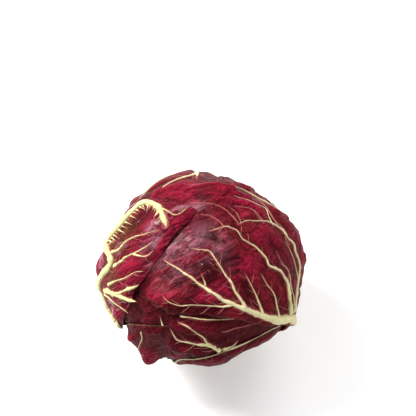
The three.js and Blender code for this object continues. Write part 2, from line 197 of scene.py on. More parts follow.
# The leaves from the innermost to the outermost. Outlines, middle ribs and ridges are as in the
# part, but leaf_left's ruffle is calmer.
# azimuth: the side of the stem that it grows from. reach: how far it goes round the head. left,
# right: where a side starts to widen, where it is widest, its half width and, in two, its own tip.
# tip: the two powers that round its end. rib: half width, height and reach of the middle rib.
# ridges: height, width and route in pixels. pairs: how many pairs of rule ribs it has.
LEAVES = [
    dict(name="leaf_crown", azimuth=234, reach=190, bend=-6, ruffle=0, left=(16, 100, 50),
         right=(16, 100, 50), rib=(5, 1.6, 70), pairs=6),
    dict(name="leaf_back_left", azimuth=150, reach=190, bend=8, ruffle=0.8, left=(16, 100, 50),
         right=(16, 105, 46), rib=(5.5, 1.8, RIB_REACH_PART * 190), pairs=7),
    dict(name="leaf_back", azimuth=92, reach=200, bend=-6, ruffle=0.8, left=(25, 110, 47),
         right=(16, 105, 50), rib=(5.5, 1.9, RIB_REACH_PART * 200), pairs=8),
    dict(name="leaf_back_right", azimuth=36, reach=184, bend=8, ruffle=1.0, left=(16, 100, 48),
         right=(16, 100, 44), tip=(1.8, 0.6), rib=(5.5, 1.9, RIB_REACH_PART * 184), pairs=8),
    dict(name="leaf_front_left", azimuth=240, reach=109, bend=-8, ruffle=0.9, left=(20, 66, 33, 1.3, 0.8),
         right=(20, 66, 30), tip=(3, 0.4), rib=(5.5, 1.8, 66),
         ridges=[(4.0, 10, [(143, 347), (152, 359), (160, 366)])]),
    dict(name="leaf_front", azimuth=276, reach=150, bend=0, ruffle=0.6, left=(20, 90, 29),
         right=(20, 95, 46), rib=(5.5, 1.6, 80)),
    dict(name="leaf_short_front", azimuth=289, reach=97, bend=-3, ruffle=0.9, left=(18, 60, 36),
         right=(18, 60, 36), tip=(3, 0.45), rib=(5.5, 1.8, RIB_REACH_PART * 97)),
    dict(name="leaf_right", azimuth=335, reach=232, bend=0, ruffle=1.4, left=(62, 178, 60, 4, 0.35),
         right=(30, 150, 50), rib=(6, 2.0, 80),
         ridges=[(2.5, 9, [(270, 322), (290, 318), (293, 300)])]),
    dict(name="leaf_left", azimuth=192, reach=178, bend=12, ruffle=0.5, left=(100, 138, 26),
         right=(38, 100, 31), tip=(1.6, 0.75), rib=(6, 2.2, 72),
         ridges=[(2.6, 10, [(107, 241), (119, 225), (135, 207), (147, 203), (159, 208), (166, 224)]),
                 (2.0, 9, [(104, 306), (100, 290), (101, 276)])]),
]

# The ribs that show in the photograph, which they follow closer than the part's do: half width,
# height, end share and route, from a rib's root to its end
PHOTO_RIBS = {
    "leaf_front_left": [
        (0.32, 0.5, 0.48, [(141, 332), (141.5, 340), (143, 346), (146, 351)]),
    ],
    "leaf_front": [
        (1.22, 1.1, 0.21, [(221, 351), (216, 349), (210, 345), (197, 344), (188, 342), (178, 340),
            (173, 335), (170, 329)]),
        (0.94, 0.9, 0.18, [(216, 348), (211, 346), (204, 339), (197, 334), (188, 327), (178, 322)]),
        (1.08, 1.0, 0.18, [(222, 350), (228, 348), (233, 346), (236, 343), (238, 340)]),
        (0.36, 0.6, 0.4, [(180, 316), (196, 319), (210, 320), (222, 319.5), (234, 319), (247, 316)]),
        (0.24, 0.4, 0.18, [(222, 332), (228, 331), (237, 328), (250, 325), (262, 322)]),
        (0.36, 0.5, 0.24, [(163, 326), (161, 321), (159, 316)]),
    ],
    "leaf_right": [
        (2.9, 1.9, 0.12, [(293, 318), (286, 319.5), (279, 320), (272, 319), (265, 317), (257, 314),
            (250, 310.5), (244, 308.5), (238, 306.5), (230, 303), (223, 300), (215, 295), (208, 290),
            (198, 283), (190, 277), (182, 271), (173, 265.5), (164, 260)]),
        (1.22, 1.2, 0.15, [(246, 308.5), (240, 299), (234, 288), (228, 278), (222, 269), (216, 260),
            (210, 252), (204, 250), (198, 249), (190, 248)]),
        (0.86, 0.9, 0.15, [(263, 314), (259, 303), (254, 292), (249, 282), (244, 272)]),
        (0.79, 0.8, 0.15, [(279, 318), (277, 306), (275, 296), (271, 289), (267.5, 285), (259, 271.5)]),
        (0.65, 0.8, 0.18, [(232, 305.5), (220, 306), (207, 306), (192, 305.5), (178, 305), (168, 302),
            (162, 295)]),
        (1.51, 1.37, 0.15, [(292, 317), (290, 307), (289.5, 298), (288.5, 289), (286.5, 281), (284, 276),
            (281, 271.5), (275, 268.5), (269, 266), (266, 259), (261, 252), (255, 246.5), (249, 243),
            (243, 239), (237.5, 231), (231, 228), (224.5, 227), (209, 231)]),
        (1.58, 1.45, 0.13, [(294, 313), (296, 296), (298, 280), (300, 265), (300, 252), (298, 243),
            (292, 237.5), (285, 231), (277, 226), (268, 222), (260, 221), (252, 220.5), (245, 221.5),
            (238, 225)]),
        (0.3, 0.4, 0.3, [(238.5, 224), (233, 217), (226, 210), (216, 205), (203, 203), (190, 203)]),
        (0.3, 0.4, 0.3, [(263.5, 223), (260, 217), (251, 208.5), (243, 207), (232, 205)]),
        (0.32, 0.4, 0.3, [(273, 225), (268.5, 217), (266, 208.5), (257, 204), (244, 198.5), (232, 195)]),
        (0.22, 0.35, 0.4, [(280, 228), (276, 217), (264, 203), (253, 196), (240, 190)]),
        (0.22, 0.35, 0.4, [(241, 223), (239, 217), (236, 212), (229, 206)]),
        (0.28, 0.4, 0.4, [(296, 244), (293, 237), (288.5, 228.5), (281, 219), (272, 209)]),
        (0.22, 0.35, 0.4, [(288, 233), (282, 224), (277, 214), (268, 205)]),
        (0.25, 0.35, 0.4, [(224, 227), (219, 221), (210, 216), (198, 214)]),
        (0.28, 0.4, 0.4, [(289, 281), (288, 270), (281, 261), (276, 251)]),
        (0.43, 0.5, 0.18, [(205.5, 286), (205, 283), (203, 278), (201.5, 273)]),
        (0.43, 0.5, 0.24, [(294, 306), (292, 290), (290, 276), (286, 268), (279, 262)]),
        (0.43, 0.5, 0.24, [(298, 280), (295, 262), (290, 248), (284, 240)]),
    ],
    "leaf_left": [
        (2.7, 1.9, 0.74, [(118, 326), (111, 318), (107, 312), (103, 304), (101, 297), (99.5, 289),
            (100, 281), (103, 274), (108, 268), (111, 262), (110, 256), (108, 250), (107, 243), (112, 234),
            (119, 226), (127, 216), (135, 208.5), (141, 204), (147, 202.5), (153, 204), (159, 208),
            (163, 215), (166, 227)]),
        (1.37, 1.2, 0.76, [(104, 290), (112, 294), (120, 297), (128, 299.5), (136, 301)]),
        (1.3, 1.1, 0.64, [(106, 290), (113, 293), (120, 292.5), (129, 289), (138.5, 285.5)]),
        (0.79, 0.9, 0.18, [(108, 285), (117, 281), (126, 278), (131, 275), (136, 272.5), (144, 271)]),
        (0.65, 0.8, 0.18, [(104, 294), (110, 299), (116, 304), (122, 309), (128, 313.5)]),
        (0.79, 0.8, 0.15, [(111, 252.5), (118, 249), (124, 243.5), (133, 237), (145, 234), (159, 230)]),
        (1.01, 0.9, 0.24, [(113, 267), (122, 261), (133, 253.5), (140, 250), (148, 245), (152, 241)]),
        (0.79, 0.8, 0.18, [(133, 254), (140, 256), (147, 256), (151, 253), (154, 249)]),
        (0.65, 0.8, 0.21, [(159, 207.5), (165, 210), (171, 213), (176, 214.5), (182, 212), (189, 206)]),
        (0.5, 0.6, 0.18, [(106, 246), (111, 243), (116, 238)]),
    ],
}

# What is told of single leaves beside their outline. Routes are in the photograph's pixels.
# fan: the place that the leaf's ribs spread from. pale, bright, dark, green: how pale its margin
# is, how bright its red, which also lets painted glints fall on it, how dark its red, partly its
# own and partly painted shade, and how green its ribs. stalk: half width and places of the ribs'
# hidden lower end. trims: place up the leaf, spread and share taken off its right side, which
# widens it below zero. bumps: height, width and route of its own folds. shades, blooms, olives:
# width and route of painted shade, of painted sheen and highlights, and of olive blade. specks:
# half width and route of pale marks. teeth: a rib's number, the shares of it that they start and
# stop at, their angle and length.
TOLD = {
    "leaf_right": dict(
        fan=64, dark=0.0, trims=[(84, 14, 0.42), (62, 13, -0.65)],
        stalk=(3.5, [(0, 24), (0, 44), (2, 64)]),
        bumps=[(1.9, 4.2, [(147, 296), (166, 296), (190, 298), (210, 301)])],
        # Painted shade under the margins of the leaves above and in dark folds
        painted_shades=[(5.5, [(139, 286), (134, 300), (136, 314)]),
                (3.2, [(186, 297), (199, 286), (210, 280)]),
                (3.2, [(150, 309), (175, 309), (200, 311), (225, 313)]),
                (2.8, [(196, 232), (214, 236), (226, 242)]),
                (2.8, [(206, 266), (216, 276)]),
                (3.0, [(252, 296), (247, 284), (240, 272)])],
        # A painted sheen where the blade faces the lamp, and a smaller one above
        painted_sheens=[(13, [(166, 260), (190, 246), (207, 245)]), (6, [(182, 207), (198, 203)])],
        specks=[(0.6, [(201, 263.5), (203.5, 265)]), (0.3, [(210, 262), (215, 266)]),
                (0.3, [(208, 270), (212, 275)]), (0.3, [(217, 263), (222, 270)])]),
    "leaf_left": dict(
        fan=60, pale=0.0, dark=0.0, bright=1.0, green=0.6, teeth=[(0, 0.50, 0.95, -62, 7.0)],
        stalk=(3.2, [(0, 24), (-1, 44), (-8, 64)]),
        # Painted pinkish highlights on the folds
        painted_sheens=[(3.2, [(147, 227), (156, 234)]), (3.2, [(138, 246), (149, 244)]),
                (2.6, [(141, 263), (146, 272)])],
        olives=[(7, [(108, 262), (112, 250), (119, 238), (128, 224)]), (4, [(108, 290), (112, 276)])]),
    "leaf_front": dict(
        fan=74, pale=0.0, dark=1.0,
        bumps=[(1.8, 3.6, [(160, 321), (182, 327), (204, 331)]),
               (1.6, 3.4, [(170, 347), (188, 351), (206, 354)])],
        # Painted shade under the margins of the leaves above
        painted_shades=[(4.5, [(150, 318), (175, 316), (205, 318), (232, 319)]),
                (4.5, [(140, 330), (152, 334), (168, 334)]),
                (4.0, [(176, 350), (190, 354), (208, 355)])]),
    "leaf_front_left": dict(
        pale=0.1, dark=0.75, trims=[(100, 12, -0.5)],
        bumps=[(6.5, 8, [(151, 357), (160, 365), (168, 367)]), (2.5, 6, [(122, 322), (129, 332)])]),
    "leaf_short_front": dict(fan=10, pale=1.0, dark=0.5),
    "leaf_crown": dict(dark=0.8),
}

# What holds for a leaf where nothing else is told of it
PLAIN_LEAF = dict(
    pairs=0, tip=(2, 0.5), fan=14, pale=0.03, bright=0.0, dark=0.25, green=0.0, stalk=None,
    ridges=[], trims=[], bumps=[], painted_shades=[], painted_sheens=[], olives=[], specks=[], teeth=[])

# Rows and columns of the leaves' grids
GRIDS = {"leaf_right": (250, 150), "leaf_left": (210, 140), "leaf_crown": (60, 50)}
PLAIN_GRID = (150, 110)

# The crumple that all the leaves share, as in the part: direction of the wave, shift, height
WAVES = [((4.1, 3.2, 2.6), 0.4, 0.9), ((-3.4, 5.6, 1.9), 2.1, 0.7), ((5.3, -2.7, 4.4), 4.3, 0.7)]

# Where the head swells or draws in: direction, height, spread. All are as in the part but the last,
# where the fine leaves settle a little below the part's at the front's lower edge.
LUMPS = [
    ((-0.2, -0.83, -0.45), -3.6, 0.62),
    ((-0.78, -0.45, -0.26), -2.2, 0.4),
    ((-0.74, 0.58, 0.33), -3.0, 0.38),
    ((0.64, 0.66, 0.38), -3.6, 0.36),
    ((0.96, 0.22, 0.12), 2.2, 0.34),
    ((0.44, -0.78, -0.45), -3.0, 0.34),
]


def smooth(value):
    """A soft step: 0 below 0, 1 above 1, and 3t^2 - 2t^3 between."""
    part = np.clip(value, 0, 1)
    return part * part * (3 - 2 * part)


def unit(vectors):
    """Each vector divided by its own length."""
    return vectors / np.linalg.norm(vectors, axis=-1, keepdims=True)


def polar_angle(direction):
    """The angle up from the stem, in degrees: the arc cosine of the downward part."""
    return np.degrees(np.arccos(np.clip(-direction[:, 2], -1, 1)))


def leaf_axes(leaf):
    """A leaf's outward direction and the direction across it, from its azimuth."""
    turn = math.radians(leaf["azimuth"])
    return np.array([math.cos(turn), math.sin(turn), 0]), np.array([math.sin(turn), -math.cos(turn), 0])


def leaf_direction(leaf, x, y):
    """cos x (cos y down + sin y out) + sin x across, for places x and y in degrees."""
    out, side = leaf_axes(leaf)
    down = np.array([0, 0, -1.0])
    x, y = np.radians(x)[..., None], np.radians(y)[..., None]
    return np.cos(x) * (np.cos(y) * down + np.sin(y) * out) + np.sin(x) * side


def leaf_place(leaf, direction):
    """The places x and y of directions on a leaf, the inverse of leaf_direction."""
    out, side = leaf_axes(leaf)
    x = np.degrees(np.arcsin(np.clip(direction @ side, -1, 1)))
    y = np.degrees(np.arctan2(direction @ out, -direction[:, 2]))
    return x, np.where(y < LOWEST_PLACE, y + 360, y)


def middle_of(leaf, y):
    """How far a leaf's middle line bends aside: its bend times the square of y over its reach."""
    return leaf["bend"] * np.maximum(0, y / leaf["reach"]) ** 2


def half_width(leaf, y, sign):
    """Half the leaf's width at y: a soft step out to the full half width, then a rounded tip."""
    right, left = (leaf[side] + leaf["tip"] * (len(leaf[side]) == 3) for side in ("right", "left"))
    start, wide, half, first, second = (np.where(sign < 0, *both) for both in zip(right, left))
    widening = smooth((y - start) / (wide - start))
    past = np.clip((y - wide) / (leaf["reach"] - wide), 0, TIP_END)
    return (BASE_HALF + (half - BASE_HALF) * widening) * (1 - past ** first) ** second


def outside_by(leaf, direction):
    """Degrees outside a leaf's outline, below zero inside it."""
    x, y = leaf_place(leaf, direction)
    across = x - middle_of(leaf, y)
    beside = np.abs(across) - half_width(leaf, y, across)
    return np.maximum(beside, np.maximum(y - leaf["reach"], -y))


def heart_radius(direction):
    """An ellipsoid, fuller round its shoulder by a bell curve, with long waves and broad lumps added."""
    size = np.array([HEART_ACROSS, HEART_ACROSS, HEART_HIGH]) / 2
    radius = 1 / np.linalg.norm(direction / size, axis=1)
    radius *= 1 + SHOULDER * np.exp(-((polar_angle(direction) - SHOULDER_ANGLE) / SHOULDER_SPREAD) ** 2)
    for along, shift, high in WAVES:
        radius += high * np.sin(direction @ np.array(along) + shift)
    for towards, high, wide in LUMPS:
        away = np.linalg.norm(direction - np.array(towards), axis=1)
        radius += high * np.exp(-(away / wide) ** 2)
    return radius


def route_distance(direction, route, wide=0, end=1):
    """Millimetres from directions to a route, less its half width, which falls to an end share."""
    nearest = np.full(len(direction), FARTHEST)
    for index, (start, stop) in enumerate(zip(route[:-1], route[1:])):
        step = stop - start
        part = np.clip((direction - start) @ step / (step @ step), 0, 1)
        away = np.linalg.norm(start + part[:, None] * step - direction, axis=1) * MEAN_RADIUS
        nearest = np.minimum(nearest, away - wide * (1 - (1 - end) * (index + 1) / len(route)))
    return nearest


def bells(direction, routes):
    """Bell curves off routes, added up: a height times exp of minus the square of distance over width."""
    total = np.zeros(len(direction))
    for high, wide, route in routes:
        total += high * np.exp(-(route_distance(direction, route) / wide) ** 2)
    return total


def photo_eye():
    """The photograph's upward direction, and its eye's place from the head's middle.

    The eye stands off by the photograph's distance, moved aside and up by as much as
    the head lies off the picture's centre.
    """
    tilt = math.radians(PHOTO_ELEVATION)
    upward = np.array([0, math.sin(tilt), math.cos(tilt)])
    toward = np.array([0, -math.cos(tilt), math.sin(tilt)])
    offset = (PHOTO_SIZE / 2 - np.array(PHOTO_MIDDLE)) * PHOTO_SCALE
    return upward, PHOTO_DISTANCE * toward + np.array([offset[0], 0, 0]) - offset[1] * upward


def photo_direction(pixels, radius_of=None):
    """Where the photograph's rays through pixels meet the head, as directions from its middle.

    The ray from the eye meets an ellipsoid, a quadratic; with radius_of given, the
    ellipsoid is rescaled to the leaf's own radius there and met again.
    """
    pixels = np.array(pixels, float)
    upward, eye = photo_eye()
    aim = np.zeros((len(pixels), 3))
    aim[:, 0] = (pixels[:, 0] - PHOTO_MIDDLE[0]) * PHOTO_SCALE
    aim += ((PHOTO_MIDDLE[1] - pixels[:, 1]) * PHOTO_SCALE)[:, None] * upward
    grow = np.ones(len(pixels))
    for _ in range(1 if radius_of is None else PHOTO_MEETINGS):
        size = np.array(PHOTO_HEAD) * grow[:, None]
        start = eye / size
        ray = (aim - eye) / size
        square = (ray * ray).sum(1)
        cross = (start * ray).sum(1)
        inside = np.maximum(0, cross ** 2 - square * ((start * start).sum(1) - 1))
        travel = (-cross - np.sqrt(inside)) / square
        place = (start + travel[:, None] * ray) * size
        direction = unit(place)
        if radius_of is not None:
            grow = grow * radius_of(direction) / np.linalg.norm(place, axis=1)
    return direction


def hashed(cell, seed):
    """A repeatable number from 0 to 1 for each whole-number cell, from a sine hash."""
    mixed = cell @ np.array([127.1, 311.7, 74.7]) + seed * 19.19
    value = np.sin(mixed) * 43758.5453
    return value - np.floor(value)


def crease_frame():
    """Axes of the creases: along them, across them and out, from their slant in the photograph."""
    slant = math.radians(CREASE_ANGLE)
    upward, _ = photo_eye()
    level = np.array([1.0, 0, 0])
    along = math.cos(slant) * level + math.sin(slant) * upward
    across = math.cos(slant) * upward - math.sin(slant) * level
    return np.stack([along, across, np.cross(along, across)], axis=1)


def noise(points, size, seed):
    """Smooth value noise from -1 to 1: hashed lattice values blended by soft steps."""
    scaled = points / size
    cell = np.floor(scaled)
    part = smooth(scaled - cell)
    total = np.zeros(len(points))
    for corner in np.ndindex(2, 2, 2):
        corner = np.array(corner)
        weight = np.prod(np.where(corner, part, 1 - part), axis=1)
        total += weight * hashed(cell + corner, seed)
    return 2 * total - 1


def noises(points, layers, number):
    """Value noises of several heights, sizes and seeds, added up."""
    return sum(high * noise(points, size, number + seed) for high, size, seed in layers)


def line_noise(walk, size, seed):
    """Value noise along a line."""
    return noise(np.stack([walk, 0 * walk, 0 * walk], axis=1), size, seed)


class Layers:
    """How all the leaves lie at a set of directions: radii, cover and openness of each."""

    def __init__(self, direction):
        self.direction = direction
        self.outside = [outside_by(leaf, direction) for leaf in LEAVES]
        self.heart = heart_radius(direction)
        up_the_head = smooth((polar_angle(direction) - FADE_FROM) / FADE_BLEND)
        fade = BASE_FADE_ANGLE + (FADE_ANGLE - BASE_FADE_ANGLE) * up_the_head
        self.swells = []
        self.rooms = []
        for number, leaf in enumerate(LEAVES):
            swell = self.swell(number)
            x, y = leaf_place(leaf, direction)
            away = np.abs(x - middle_of(leaf, y)) * DEGREE_LONG
            wide, _, rib_reach = leaf["rib"]
            over_rib = smooth(1 - (away - wide) / RIB_ROOM) * smooth((rib_reach - y) / RIB_ROOM_FADE + 1)
            covered = smooth(1 - self.outside[number] / fade)
            self.swells.append(swell)
            self.rooms.append(covered * (LAYER + swell + (rib_height(leaf, y) + RIB_ROOM_HEIGHT) * over_rib))

    def openness(self, number):
        """0 under an outer leaf to 1 in the open: soft steps off each outer leaf's outline."""
        open_air = np.ones(len(self.direction))
        for outside in self.outside[number + 1:]:
            open_air *= smooth((outside - OPEN_FROM) / OPEN_BLEND)
        return open_air

    def swell(self, number):
        """Ridges as bell curves off their routes, and a ripple on the open margin."""
        leaf = LEAVES[number]
        _, y = leaf_place(leaf, self.direction)
        margin = smooth(1 + self.outside[number] / RUFFLE_DEEP)
        ripple = 0.55 + 0.45 * np.sin(y * RUFFLE_TURN + leaf["azimuth"])
        ruffle = leaf["ruffle"] * margin * ripple * self.openness(number)
        return bells(self.direction, leaf["ridges"]) + ruffle

    def on_open_blade(self, number):
        """1 on a leaf's open blade, falling to 0 at its margin and under outer leaves."""
        return self.openness(number) * smooth(-self.outside[number] / RELIEF_EDGE)

    def inner_radius(self, number):
        """The heart, every room inside the leaf, and the leaf's own swell."""
        return self.heart + self.swells[number] + sum(self.rooms[:number], np.zeros(len(self.direction)))


def rib_height(leaf, y):
    """The middle rib's height, which falls to a quarter at the rib's end."""
    return leaf["rib"][1] * (1 - 0.75 * smooth(y / leaf["rib"][2]))


def outer_radius(number, direction):
    """The open face of a leaf without its fine relief."""
    layers = Layers(direction)
    bumps = bells(direction, LEAVES[number]["bumps"]) * layers.on_open_blade(number)
    return layers.inner_radius(number) + BLADE + bumps


# Every leaf gets its number and what is told of it, and its routes become directions
for number, leaf in enumerate(LEAVES):
    leaf.update({**PLAIN_LEAF, **leaf, **TOLD.get(leaf["name"], {})})
    leaf["number"] = number
    for kind in ("bumps", "ridges"):
        leaf[kind] = [(high, wide, photo_direction(route)) for high, wide, route in leaf[kind]]
    for kind in ("painted_shades", "painted_sheens", "olives"):
        leaf[kind] = [(1, wide, photo_direction(route)) for wide, route in leaf[kind]]


def spline(points, step):
    """A smooth route through points, Catmull-Rom, resampled at an even step in millimetres."""
    ends = np.vstack([2 * points[0] - points[1], points, 2 * points[-1] - points[-2]])
    part = np.linspace(0, 1, 12, endpoint=False)[:, None]
    spans = []
    for a, b, c, d in zip(ends[:-3], ends[1:-2], ends[2:-1], ends[3:]):
        spans.append(0.5 * (2 * b + (c - a) * part + (2 * a - 5 * b + 4 * c - d) * part ** 2
                            + (3 * b - a - 3 * c + d) * part ** 3))
    fine = unit(np.vstack(spans + [points[-1:]]))
    length = np.concatenate([[0], np.cumsum(np.linalg.norm(np.diff(fine, axis=0), axis=1))]) * MEAN_RADIUS
    count = max(4, int(length[-1] / step))
    places = np.linspace(0, length[-1], count)
    return unit(np.stack([np.interp(places, length, fine[:, k]) for k in range(3)], axis=1))


def rule_ribs(leaf):
    """Ribs of a leaf that the photograph hides: pairs that leave the middle rib and arch up.

    Rib i leaves at an even share of the leaf's length and swings out to a share of
    the half width, with a seeded draw on both. A thin rib carries the middle line on.
    """
    draw = np.random.default_rng(leaf["number"] + 5)
    ribs = []
    for pair in range(leaf["pairs"]):
        for sign in (-1, 1):
            first, each, spread = RULE_START
            start = leaf["reach"] * (first + each * pair + spread * draw.uniform(-1, 1))
            part = np.linspace(0, 1, 9)
            y = start + (RULE_CLIMB[0] + RULE_CLIMB[1] * draw.uniform(-1, 1)) * part
            swing = RULE_SWING[0] + RULE_SWING[1] * draw.uniform(-1, 1)
            x = middle_of(leaf, y)
            x += sign * half_width(leaf, y, sign) * swing * np.sin(part * math.pi / 2) ** 1.2
            add_open(leaf, ribs, RULE_WIDE[0] - RULE_WIDE[1] * pair, RULE_END, leaf_direction(leaf, x, y))
    if leaf["pairs"]:
        y = np.linspace(leaf["rib"][2] - 12, 0.93 * leaf["reach"], 14)
        add_open(leaf, ribs, 1.0, 0.2, leaf_direction(leaf, middle_of(leaf, y), y))
    return ribs


def add_open(leaf, ribs, wide, end, route):
    """Adds a rib along the open part of a route, up to where another leaf covers it."""
    keep = np.cumprod(Layers(route).openness(leaf["number"]) > 0.5).astype(bool)
    if keep.sum() > 3:
        ribs.append((wide, RULE_HIGH, end, route[keep]))


def all_ribs(leaf):
    """Every rib of a leaf as (half width, height, end share, smooth route).

    The photo ribs come first, then the stalk, which runs on into the first of them,
    and then the rule ribs.
    """
    ribs = []
    for wide, high, end, pixels in PHOTO_RIBS.get(leaf["name"], []):
        route = photo_direction(pixels, lambda direction: outer_radius(leaf["number"], direction))
        ribs.append((wide, high, end, spline(route, RIB_STEP)))
    if leaf["stalk"]:
        wide, places = leaf["stalk"]
        x, y = np.array(places, float).T
        joined = np.vstack([leaf_direction(leaf, x, y), ribs[0][3][0:14:6]])
        ribs.append((wide, STALK_HIGH, STALK_END, spline(joined, RIB_STEP)))
    for wide, high, end, route in rule_ribs(leaf):
        ribs.append((wide, high, end, spline(route, RIB_STEP)))
    return ribs


def branch(leaf, rib, index, angle, long, bend):
    """A fine vein off a rib: it leaves at an angle, bends forward and stops at the leaf's open edge."""
    route = rib[3]
    forward = unit(route[min(index + 2, len(route) - 1)] - route[index - 2])
    side = np.cross(route[index], forward)
    walk = np.arange(0, long, RIB_STEP)
    turn = math.radians(angle) * (1 - bend * walk / long)
    ahead = np.cumsum(np.cos(turn)) * RIB_STEP / MEAN_RADIUS
    out = np.cumsum(np.sin(turn)) * RIB_STEP / MEAN_RADIUS
    path = unit(route[index] + ahead[:, None] * forward + out[:, None] * side)
    layers = Layers(path)
    keep = (layers.openness(leaf["number"]) > 0.5) & (layers.outside[leaf["number"]] < -VEIN_CLEAR)
    return path[np.cumprod(keep).astype(bool)]


def fine_veins(leaf, ribs):
    """Fine veins by turns on a rib's two sides, teeth along its edge and pale specks, as in all_ribs.

    Each vein's angle and length is a seeded draw, and veins grow shorter along the rib.
    """
    draw = np.random.default_rng(leaf["number"] + 40)
    veins = []
    for rib in ribs:
        wide, count = rib[0], len(rib[3])
        index, sign = 5 + int(draw.uniform(0, 5)), 1
        while VEIN_FROM < wide < STALK_FROM and index < count - 6:
            long = VEIN_LONG * draw.uniform(*VEIN_SHARES) * (1 - 0.5 * index / count)
            angle = sign * draw.uniform(*VEIN_ANGLES)
            path = branch(leaf, rib, index, angle, long, draw.uniform(*VEIN_BENDS))
            if len(path) > 4:
                veins.append((draw.uniform(*VEIN_WIDTHS), VEIN_HIGH, VEIN_END, path))
            sign = -sign
            index += int(draw.uniform(*VEIN_GAPS))
    for number, start, stop, angle, long in leaf["teeth"]:
        rib = ribs[number]
        for index in range(int(start * len(rib[3])), int(stop * len(rib[3])), 5):
            size = long * draw.uniform(*TOOTH_SHARES)
            path = branch(leaf, rib, index, angle * draw.uniform(*TOOTH_TURNS), size + 2.0, -0.25)
            if len(path) > 3:
                veins.append((draw.uniform(*TOOTH_WIDTHS), 0.5, 0.1, path))
    for wide, pixels in leaf["specks"]:
        veins.append((wide, 0.2, 0.7, spline(photo_direction(pixels), RIB_STEP)))
    return veins


def fan_place(leaf, x, y):
    """Places on a leaf's fan: the turn about the point that its ribs spread from, and the way out."""
    up = y - leaf["fan"]
    return np.degrees(np.arctan2(x, up)), np.hypot(x, up)


def fine_relief(leaf, layers, direction):
    """How far a leaf's open face stands out from its plain face, and the way to the nearest rib.

    The blade bulges between the ribs and is crumpled by value noise of three sizes. Pleats
    run out along the fan, creases along one slant, and folds are cut along the zero lines
    of a noise. All of it dies out at the ribs, the margin and under other leaves.
    """
    number = leaf["number"]
    rib_away = np.full(len(direction), FARTHEST)
    for wide, _, end, route in leaf["all_ribs"]:
        rib_away = np.minimum(rib_away, route_distance(direction, route[::5], wide, end))
    quilt = 1 - np.exp(-(np.maximum(rib_away, 0) / QUILT_WIDE) ** 2)
    x, y = leaf_place(leaf, direction)
    turn, out = fan_place(leaf, x - middle_of(leaf, y), y)
    fan = np.stack([turn / PLEAT_ANGLE, out / PLEAT_LONG, 0 * turn], axis=1)
    pleats = noise(fan, 1, number + 40) + PLEAT_FINER[0] * noise(PLEAT_FINER[1] * fan, 1, number + 50)
    pleat_high = PLEAT_HIGH + PLEAT_ROOT_HIGH * np.exp(-((out / PLEAT_ROOT) ** 2))
    points = direction * MEAN_RADIUS
    puckers = noises(points, PUCKERS, number)
    creased = (points + CREASE_WARP * puckers[:, None]) @ crease_frame() / np.array([CREASE_LONG, 1, 1])
    folds = 1 - np.abs(noise(creased, FOLD_SIZE, number + 60)) * FOLD_SHARP
    relief = RELIEF_MEAN + puckers + noises(creased, CREASES, number) + pleats * pleat_high
    relief = quilt * (relief - FOLD_DEEP * np.clip(folds, 0, 1)) + bells(direction, leaf["bumps"])
    return np.maximum(layers.on_open_blade(number) * relief, RELIEF_LOWEST), rib_away


def make_mesh(name, points, faces, attributes, uv=None):
    """A mesh object in metres at the origin from points in millimetres, faces and point attributes."""
    mesh = bpy.data.meshes.new(name)
    mesh.from_pydata(points * MM, [], faces)
    for key, values in attributes.items():
        layer = mesh.attributes.new(key, "FLOAT", "POINT")
        layer.data.foreach_set("value", np.ascontiguousarray(values, np.float32))
    if uv is not None:
        corner = np.empty(len(mesh.loops), np.int32)
        mesh.loops.foreach_get("vertex_index", corner)
        uv_layer = mesh.uv_layers.new(name="blade")
        uv_layer.data.foreach_set("uv", np.ascontiguousarray(uv[corner], np.float32).ravel())
    mesh.polygons.foreach_set("use_smooth", np.ones(len(mesh.polygons), bool))
    mesh.update()
    piece = bpy.data.objects.new(name, mesh)
    bpy.context.scene.collection.objects.link(piece)
    return piece


def sheet_faces(rows, columns, count):
    """The quads of a closed sheet: an outer grid, the inner grid turned round, and its four edges."""
    row, column = np.meshgrid(np.arange(rows), np.arange(columns), indexing="ij")
    a = (row * (columns + 1) + column).ravel()
    b, c, d = a + 1, a + columns + 2, a + columns + 1
    outer = np.stack([a, d, c, b], axis=1)
    inner = np.stack([a, b, c, d], axis=1) + count
    left = np.arange(rows) * (columns + 1)
    right = left + columns
    low = np.arange(columns)
    high = low + rows * (columns + 1)
    sides = [
        np.stack([left, left + count, left + columns + 1 + count, left + columns + 1], axis=1),
        np.stack([right, right + columns + 1, right + columns + 1 + count, right + count], axis=1),
        np.stack([low, low + 1, low + 1 + count, low + count], axis=1),
        np.stack([high, high + count, high + 1 + count, high + 1], axis=1),
    ]
    return np.vstack([outer, inner] + sides)


def ring_faces(rings, around, first=0):
    """The faces of a closed tube of rings: quads between neighbours, and a flat cap at each end."""
    ring, k = np.meshgrid(np.arange(rings - 1), np.arange(around), indexing="ij")
    a = (ring * around + k).ravel() + first
    b = (ring * around + (k + 1) % around).ravel() + first
    faces = np.stack([a, a + around, b + around, b], axis=1).tolist()
    faces.append((np.arange(around) + first).tolist())
    faces.append((np.arange(around)[::-1] + (rings - 1) * around + first).tolist())
    return faces


def base_angle(number):
    """The angle up from the stem where a leaf's base meets the stem's side, by repeated guesses."""
    angle = 15.0
    for _ in range(4):
        direction = leaf_direction(LEAVES[number], np.zeros(1), np.full(1, angle))
        radius = Layers(direction).inner_radius(number)[0]
        angle = math.degrees(math.asin((STEM_RADIUS + STEM_CLEAR) / radius))
    return angle


def nibbles(height, across, number, share, turn, shift):
    """A sine wave up the outline, with a shift that differs on its two sides and by leaf."""
    return share * np.sin(height * turn + shift * np.sign(across) + number)


